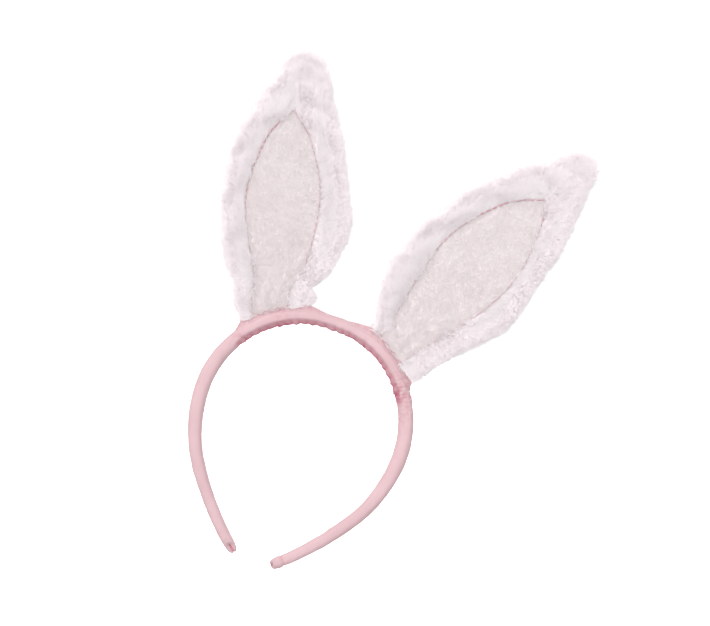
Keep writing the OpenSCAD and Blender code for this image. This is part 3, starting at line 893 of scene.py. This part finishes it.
def grow_fur(side_name, part, cloth, seed):
    side = SIDES[side_name]
    random = np.random.default_rng(seed)
    pieces = []
    for number in range(FUR_PIECES[part]):
        place, normal = scatter(*read_mesh(cloth), HAIRS_EACH, random)
        comb = border_comb(side, place)
        foot = row_to_pattern(side, place)[:, 1]
        length = FUR_AT_FOOT + FUR_GAIN * smooth((foot - 16) / 16)
        inside = smooth((rim_distance(side, place) - 3) / 6)
        name = f"{side_name}_ear_{part}_fur_{number + 1}"
        pieces.append(hairs(name, place, normal, comb, length, FUR_WIDTH, FUR_SHADES, random, 0.6,
                            spread=0.22, inside=inside))
    return pieces


def grow_pile(side_name, cloth, seed):
    side = SIDES[side_name]
    random = np.random.default_rng(seed)
    place, normal = scatter(*read_mesh(cloth), HAIRS_EACH, random)
    comb = np.tile(along_ear(side, 1.0, -0.3), (HAIRS_EACH, 1))
    pattern = row_to_pattern(side, place)
    cloudy = wander(pattern[:, 0] * 0.06, pattern[:, 1] * 0.045, 81 + side, 2)
    tint = 0.7 * cloudy - 1.5 * (1 - smooth(pattern[:, 1] / (0.6 * EAR_LENGTH[side])))
    return hairs(f"{side_name}_ear_lining_pile", place, normal, comb, PILE_LENGTH, PILE_WIDTH,
                 LINING_SHADES, random, 0.9, 1.5, 0.35, tint=tint + 0.5)


def fold_with_ear(piece):
    """Bakes the piece's placement into its mesh, through bend_across."""
    bend_across(piece)


# ---- stitches ----

# Radii of the threads in mm: along the lining, what is added on the ear's upper left, where the
# thicker thread also stands in for the shadow along the seam, and the rest.
SEAM_RADIUS, SEAM_SHADOW_EXTRA, MITRE_RADIUS = 0.2, 0.32, 0.22
FOOT_RADIUS, GATHER_RADIUS = 0.32, 0.26


def rod_mesh(name, runs, sizes, sides=6):
    """Thread along several runs of points, each with its radius in mm and closed at both ends."""
    points, faces = [], []
    for run, radius in zip(runs, sizes):
        way = unit(np.gradient(run, axis=0))
        side_way = unit(np.cross(way, np.array([0.3, 0.9, 0.31])))
        top_way = np.cross(way, side_way)
        start = len(points)
        ends = np.sin(np.linspace(0.25, math.pi - 0.25, len(run))) ** 0.3
        for place, a, b, scale in zip(run, side_way, top_way, ends):
            for k in range(sides):
                turn = 2 * math.pi * k / sides
                ring = a * math.cos(turn) + b * math.sin(turn)
                points.append(place + radius * MM * scale * ring)
        last = len(run) - 1
        for i in range(last):
            for k in range(sides):
                m = (k + 1) % sides
                a, b = start + i * sides, start + (i + 1) * sides
                faces += [(a + k, b + m, a + m), (a + k, b + k, b + m)]
        for i, order in ((0, 1), (last, -1)):
            a = start + i * sides
            for k in range(1, sides - 1):
                fan = (a, a + k, a + k + 1)
                faces.append(fan[::order])
    return make_mesh(name, points, faces, [THREAD])


def nearest_front(points, layout, where):
    """The depth of a cloth's surface at pattern places, from its nearest points."""
    depth = []
    for place in where:
        gap = np.linalg.norm(layout - place, axis=1)
        close = np.argsort(gap)[:4]
        depth.append(-points[close, 1].mean())
    return np.array(depth)


def seam_thread(side_name, lining):
    """A row of stitches round the lining, half sunk between its pile and the border."""
    side = SIDES[side_name]
    points = read_mesh(lining)[0]
    layout = row_to_pattern(side, points)
    left, right = lining_edges(side, 0.0)
    path = np.vstack([left, right[-2::-1]])
    total = np.linalg.norm(np.diff(path, axis=0), axis=1).sum()
    path = evenly(path, int(total / 0.5))
    per_stitch, runs, sizes = 8, [], []
    for start in range(4, len(path) - per_stitch - 3, per_stitch):
        piece = path[start: start + per_stitch]
        depth = nearest_front(points, layout, piece)
        arch = 0.3 * np.sin(np.linspace(0, math.pi, per_stitch))
        share = start / len(path)
        # The thread is thicker and stands higher on the ear's upper left, where the border parts
        # widest from the lining and where the thread also stands in for the shadow along the seam.
        shown = math.exp(-((share - 0.40) / 0.13) ** 2)
        runs.append(ear_to_row(side, piece[:, 0], piece[:, 1], depth + 0.3 + 0.2 * shown + arch))
        sizes.append(SEAM_RADIUS + SEAM_SHADOW_EXTRA * shown)
    # A few stitches close the border's mitre above the lining's tip.
    tip = path[np.argmax(path[:, 1])]
    way = unit(np.array([3.3, EAR_LENGTH[side] * 0.2]))
    mitre = tip + np.linspace(0.3, 5.5, 12)[:, None] * way
    depth = nearest_front(points, layout, mitre) + np.linspace(0.8, 2.2, 12)
    runs.append(ear_to_row(side, mitre[:, 0], mitre[:, 1], depth))
    sizes.append(MITRE_RADIUS)
    return rod_mesh(f"{side_name}_ear_seam_thread", runs, sizes)


def foot_thread(side_name):
    """Long wavy stitches that catch the foot of an ear to the satin, front and back. Their dark line
    also stands in for the shadow where the ear meets the satin.
    """
    side = SIDES[side_name]
    random = np.random.default_rng(61 + side)
    runs = []
    for face in (1, -1):
        start = -18.0
        while start < 14:
            length = random.uniform(4.0, 7.5)
            along = start + np.linspace(0, length, 14)
            wave = 0.45 * np.sin(along * 0.9 + side) + 0.25 * np.sin(along * 2.3 + face)
            front = face * (2.2 + 0.2 * np.sin(np.linspace(0, math.pi, 14)))
            runs.append(seat_to_row(side, along, FOLD_HEIGHT - 2.0 + wave, front))
            start += length + random.uniform(0.3, 0.9)
    return rod_mesh(f"{side_name}_ear_foot_thread", runs, [FOOT_RADIUS] * len(runs))


def gather_thread():
    """Running stitches in the gathered seam along the inside of the crown."""
    runs = []
    for start in np.arange(-66, 64, 3.3):
        along = start + np.linspace(0, 2.3, 7)
        angle = np.full(7, math.pi - 0.02)
        surface = satin_surface(along, angle) * MM
        inward = np.stack([-np.sin(along / TOP_RADIUS), 0 * along, -np.cos(along / TOP_RADIUS)], -1)
        arch = (0.12 + 0.25 * np.sin(np.linspace(0, math.pi, 7)))[:, None]
        runs.append(surface + inward * arch * MM)
    return rod_mesh("crown_gather_thread", runs, [GATHER_RADIUS] * len(runs))


# ---- tips of the arms ----

def tip_tuck(side_name):
    """The satin turned in at an arm's end, with the mouth of the fold in its middle, which is
    darkened with painted shade.
    """
    side = SIDES[side_name]
    sides, rings = 96, 36
    turn = np.linspace(-math.pi, math.pi, sides, endpoint=False) + math.pi / sides
    ends = np.full(sides, side * ARM_LENGTH)
    rim = satin_surface(slanted(ends, turn), turn, 0.0, end_rounding(ends))
    end, out = (part[0] for part in spine(ends[:1]))
    way = np.array([side * out[1], -side * out[0]])
    flat = np.stack([rim[:, 0], rim[:, 2] - CENTRE_Z], -1) - end
    level, along, deep = flat @ out, flat @ way, -rim[:, 1]
    points = []
    for f in np.linspace(0, 1, rings):
        # The satin rounds the end over, then turns in to the mouth.
        over = math.sin(min(f / 0.5, 1) * math.pi / 2)
        turned_in = float(smooth((f - 0.5) / 0.5))
        draw = 1 - 0.52 * (1 - math.sqrt(1 - over * over * 0.999)) - 0.46 * turned_in
        hollow = 1.7 * float(smooth((f - 0.62) / 0.38))
        pleat = 0.26 * np.sin(5 * turn + side) * math.sin(f * math.pi)
        toward = along + (along.mean() - along) * 0.45 * turned_in
        reach = toward + 2.7 * over - hollow + pleat
        squeeze = 1 - 0.35 * turned_in * np.abs(np.sin(turn)) ** 2
        place = end + (level * draw * squeeze)[:, None] * out + reach[:, None] * way
        front = deep * draw + 0.6 * turned_in
        points.append(np.stack([place[:, 0], -front, place[:, 1] + CENTRE_Z], -1))
    rows = np.repeat(np.arange(rings - 1), sides)
    # The faces deep in the mouth take the deeper satin, painted shade for the hollow.
    piece = make_mesh(f"{side_name}_tip_tuck_satin", np.array(points) * MM,
                      grid_faces(rings, sides, True, side == RIGHT), [SATIN, SATIN_MOUTH_SHADE],
                      (rows > 0.71 * rings).astype(int))
    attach(piece, f"{side_name}_arm")
    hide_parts(f"{side_name}_tip_tuck")


# ---- putting the ears together ----

def build_ear(side_name):
    side = SIDES[side_name]
    back = back_panel(side_name)
    border = border_piece(side_name)
    lining = lining_piece(side_name)
    thread = seam_thread(side_name, lining)
    foot = foot_thread(side_name)
    coats = grow_fur(side_name, "border", border, 101 + side)
    coats += grow_fur(side_name, "back", back, 111 + side)
    pile = grow_pile(side_name, lining, 121 + side)
    for piece, slot_name, node in ((back, "fur", "back"), (border, "fur", "border"),
                                   (lining, "lining", "lining")):
        fold_with_ear(piece)
        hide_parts(f"{side_name}_ear_{node}")
    for piece, slot_name in [(coat, "fur") for coat in coats] + [(pile, "lining")]:
        fold_with_ear(piece)
    for piece, node in ((thread, "seam_stitches"), (foot, "foot_stitches")):
        fold_with_ear(piece)
        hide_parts(f"{side_name}_ear_{node}")


def finish_cad_nodes():
    """Better materials for the inner pieces that keep their CAD shape."""
    kinds = {"core": PLASTIC, "wadding": WADDING, "wire": WIRE, "tab": LINING_SKIN}
    for name, obj in frame["nodes"].items():
        for ending, material in kinds.items():
            if name.endswith(ending):
                for material_slot in obj.material_slots:
                    material_slot.material = material


# ---- camera, light and floor ----

# The camera looks along +Y and is rolled. Sizes here are in metres.
ROLL = math.radians(19.6)
CAMERA_AIM = (0.0089, 0.0141)
CAMERA_DISTANCE = 1.2
VIEW_WIDTH = 0.4396
# The sky's light from all round, added from front and back, and added from the upper left.
SKY_EVEN, SKY_FRONTAL, SKY_SLOPE = 0.73, 1.14, 0.38
KEY_ENERGY, FILL_ENERGY = 0.8, 0.9
SUN_WIDTH = math.radians(50)
BACKDROP = 1.1
FLOOR_SIZE = 40.0
ARM_SWING_ROOM = 0.015


def build_camera():
    data = bpy.data.cameras.new("camera")
    data.sensor_width = 36
    data.lens = 36 * CAMERA_DISTANCE / VIEW_WIDTH
    data.dof.use_dof = False
    data.clip_start, data.clip_end = 0.05, 50
    camera = bpy.data.objects.new("camera", data)
    bpy.context.scene.collection.objects.link(camera)
    right = Vector((math.cos(ROLL), 0, math.sin(ROLL)))
    up = Vector((-math.sin(ROLL), 0, math.cos(ROLL)))
    turn = Matrix((right, up, Vector((0, -1, 0)))).transposed().to_4x4()
    eye = (CAMERA_AIM[0], -CAMERA_DISTANCE, CAMERA_AIM[1])
    camera.matrix_world = Matrix.Translation(eye) @ turn
    bpy.context.scene.camera = camera
    return right, up


def build_sky(from_light):
    """A plain white backdrop, and soft light that is strongest from the front, the back and the
    upper left, so that the sides of round things fall into shade."""
    world = bpy.data.worlds.new("studio")
    world.use_nodes = True
    tree = world.node_tree
    link = tree.links.new
    way = add_node(tree, "ShaderNodeTexCoord").outputs["Generated"]
    split = add_node(tree, "ShaderNodeSeparateXYZ")
    link(way, split.inputs["Vector"])
    face_on = math_node(tree, "MULTIPLY", split.outputs["Y"], split.outputs["Y"])
    frontal = math_node(tree, "MULTIPLY_ADD", face_on, SKY_FRONTAL, SKY_EVEN)
    toward = add_node(tree, "ShaderNodeVectorMath", operation="DOT_PRODUCT")
    link(way, toward.inputs[0])
    toward.inputs[1].default_value = from_light
    total = math_node(tree, "MULTIPLY_ADD", toward.outputs["Value"], SKY_SLOPE, frontal)
    ray = add_node(tree, "ShaderNodeLightPath")
    strength = add_node(tree, "ShaderNodeMix", data_type="FLOAT")
    link(ray.outputs["Is Camera Ray"], strength.inputs["Factor"])
    link(total, strength.inputs["A"])
    strength.inputs["B"].default_value = BACKDROP
    link(strength.outputs["Result"], tree.nodes["Background"].inputs["Strength"])
    tree.nodes["Background"].inputs["Color"].default_value = (1, 1, 1, 1)
    bpy.context.scene.world = world


def add_sun(name, energy, toward_light):
    """A broad, soft light that shines from one direction."""
    light = bpy.data.objects.new(name, bpy.data.lights.new(name, "SUN"))
    light.data.energy, light.data.angle = energy, SUN_WIDTH
    light.data.color = (1, 0.99, 0.98)
    light.rotation_mode = "QUATERNION"
    light.rotation_quaternion = (-toward_light).to_track_quat("-Z", "Y")
    bpy.context.scene.collection.objects.link(light)


def build_stage():
    right, up = build_camera()
    bpy.context.scene.view_settings.view_transform = "Standard"
    toward = Vector((0, -1, 0))
    build_sky((-0.35 * right + 0.88 * up + 0.28 * toward).normalized())
    add_sun("key", KEY_ENERGY, -0.42 * right + 0.7 * up + 0.55 * toward)
    add_sun("fill", FILL_ENERGY, 0.3 * right + 0.25 * up - 0.9 * toward)
    floor_material, tree, shader = new_material("floor", (0.93, 0.93, 0.93), 0.9)
    shader.inputs["Emission Color"].default_value = (1, 1, 1, 1)
    shader.inputs["Emission Strength"].default_value = 1.0
    grain = add_node(tree, "ShaderNodeTexNoise", Scale=90.0)
    bump(tree, shader, grain.outputs["Fac"], 0.05, 0.0005)
    # An arm that swings out dips lower than it hangs at rest.
    size, level = FLOOR_SIZE, cad_low[2] - ARM_SWING_ROOM
    corners = [(-size, -size, level), (size, -size, level), (size, size, level), (-size, size, level)]
    floor = make_mesh("floor", corners, [(0, 1, 2, 3)], [floor_material])
    floor.visible_diffuse = floor.visible_glossy = floor.visible_shadow = False


build_stage()
build_hoop()
for name in SIDES:
    tip_tuck(name)
gathers = gather_thread()
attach(gathers, "crown")
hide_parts("crown_gather_stitches")
for name in SIDES:
    build_ear(name)
finish_cad_nodes()
